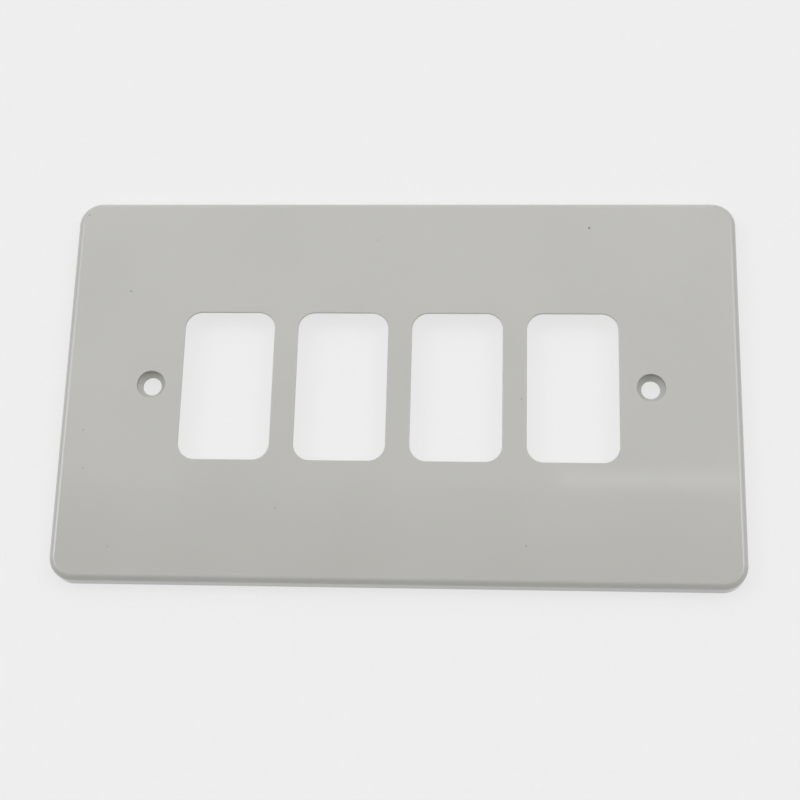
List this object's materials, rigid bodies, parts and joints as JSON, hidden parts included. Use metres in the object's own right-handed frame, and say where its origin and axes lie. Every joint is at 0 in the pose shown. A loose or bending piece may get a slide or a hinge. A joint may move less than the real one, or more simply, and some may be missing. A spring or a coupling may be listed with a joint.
{
  "type": "grid switch plate",
  "caption": "Moulded plastic front plate for a row of grid switch modules, with rounded rectangular apertures, countersunk screw holes and a hollow ribbed back.",
  "frame": {"origin": "middle of the plane of the back edge, which meets the wall", "axes": "+X along the plate's length, +Y along its height, +Z out of the front face"},
  "size_m": [0.146, 0.086, 0.0044],
  "materials": {
    "plate_plastic": "smooth semi-gloss, pale warm grey"
  },
  "bodies": {
    "root": {"front_plate": "plate_plastic"}
  },
  "joints": []
}
